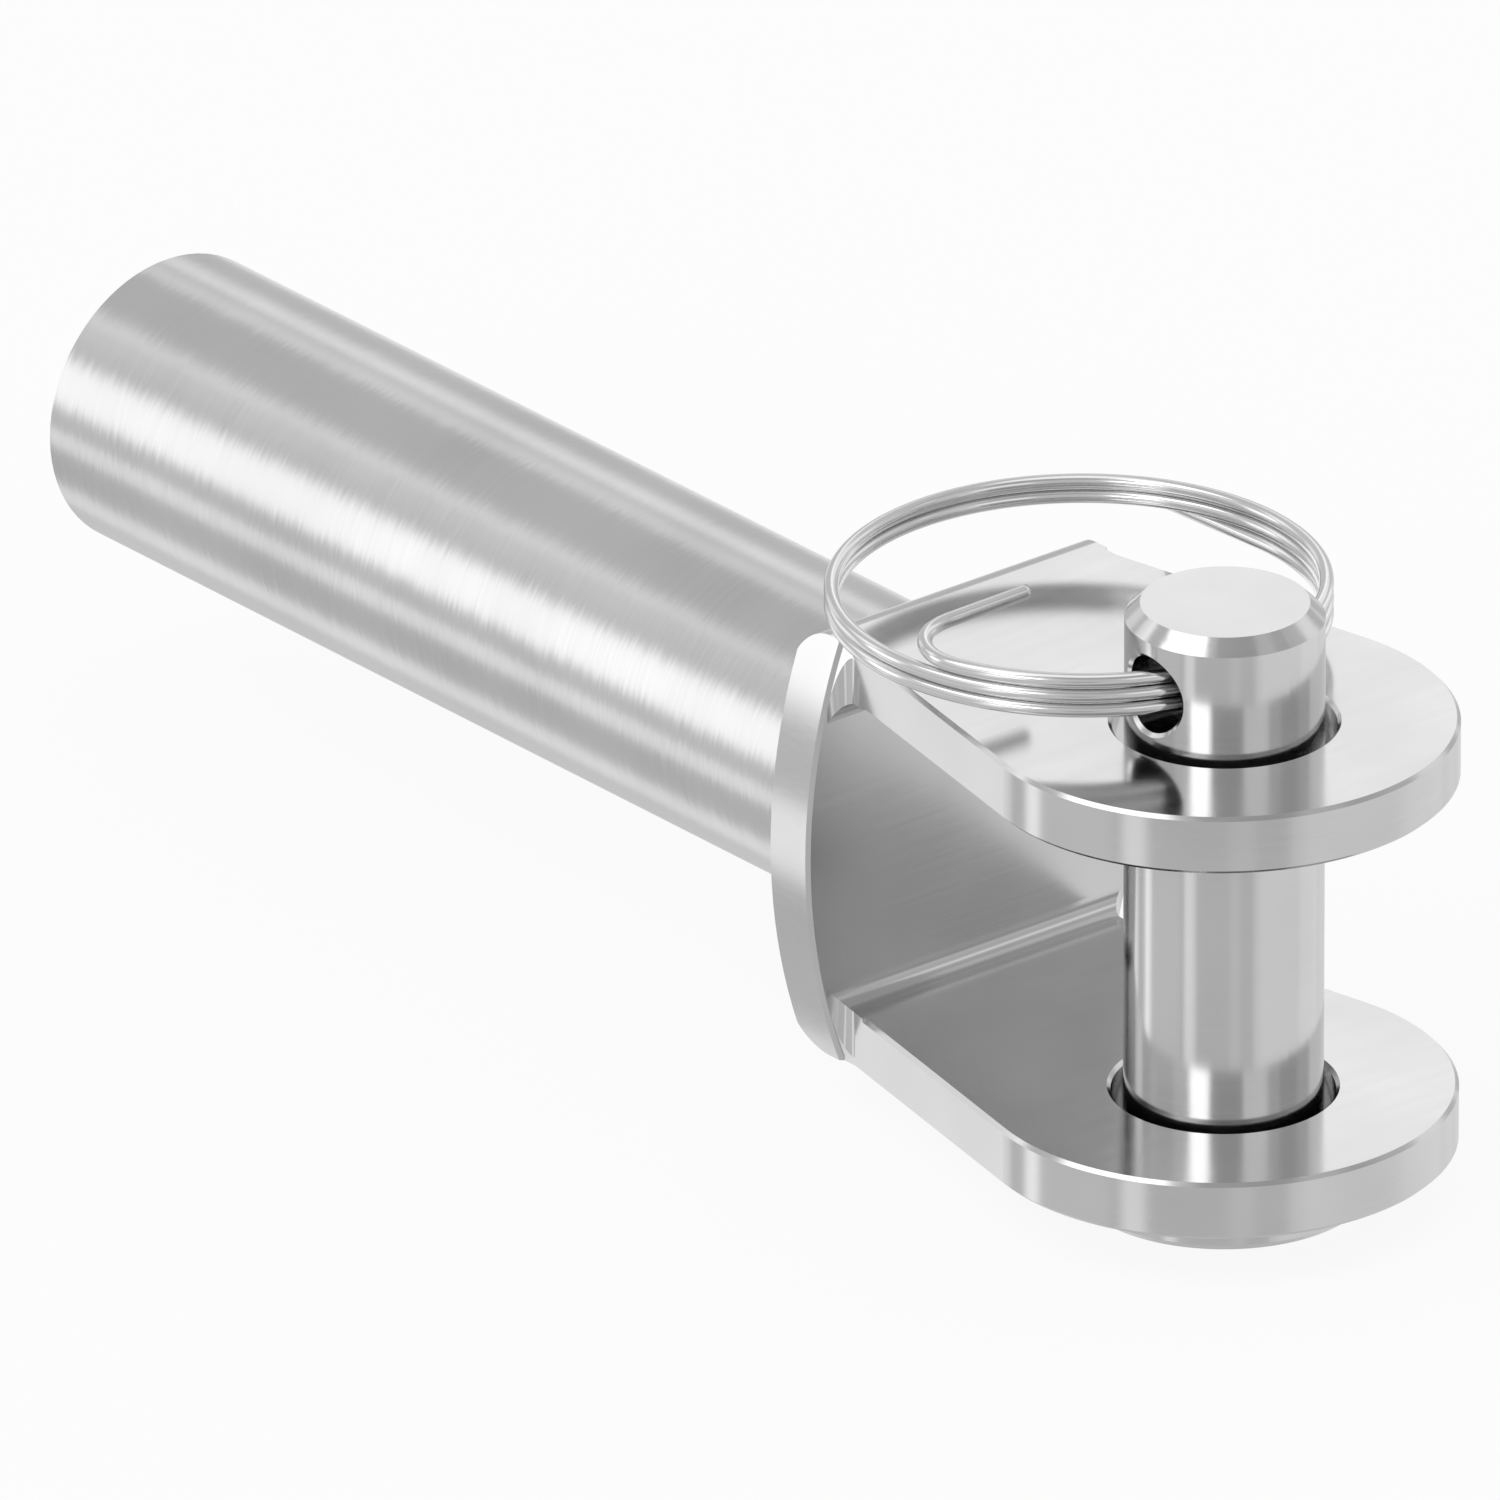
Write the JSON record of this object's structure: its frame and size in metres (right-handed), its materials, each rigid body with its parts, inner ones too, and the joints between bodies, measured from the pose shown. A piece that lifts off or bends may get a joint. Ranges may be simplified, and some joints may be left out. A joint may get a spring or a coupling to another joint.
{
  "type": "tension rod clevis",
  "caption": "Fork end fitting for a tension rod: a tapped round sleeve, a two-eared fork, a headed clevis pin and a wound split ring that keeps the pin in.",
  "frame": {"origin": "on the clevis pin's axis, midway between the fork's two ears", "axes": "+Z along the pin, away from its head and towards the split ring; +X out of the fork's mouth, so the sleeve runs along -X; +Y completes the right-handed frame"},
  "size_m": [0.123, 0.033, 0.0417],
  "materials": {
    "fork_steel": "polished stainless steel",
    "sleeve_steel": "satin stainless bar with fine lengthwise streaks",
    "pin_steel": "turned and polished stainless steel",
    "ring_steel": "bright drawn spring wire"
  },
  "bodies": {
    "jaw": {"fork": "fork_steel", "rod_sleeve": "sleeve_steel"},
    "pin": {"clevis_pin": "pin_steel"},
    "ring": {"split_ring": "ring_steel"}
  },
  "joints": [
    {"name": "pin_turn", "type": "hinge", "parent": "jaw", "child": "pin", "pos_m": [0, 0, 0], "axis": [0, 0, 1], "continuous": true},
    {"name": "ring_swing", "type": "hinge", "parent": "pin", "child": "ring", "pos_m": [0, 0, 0.0186], "axis": [0, 1, 0], "range_deg": [-3, 183]}
  ]
}
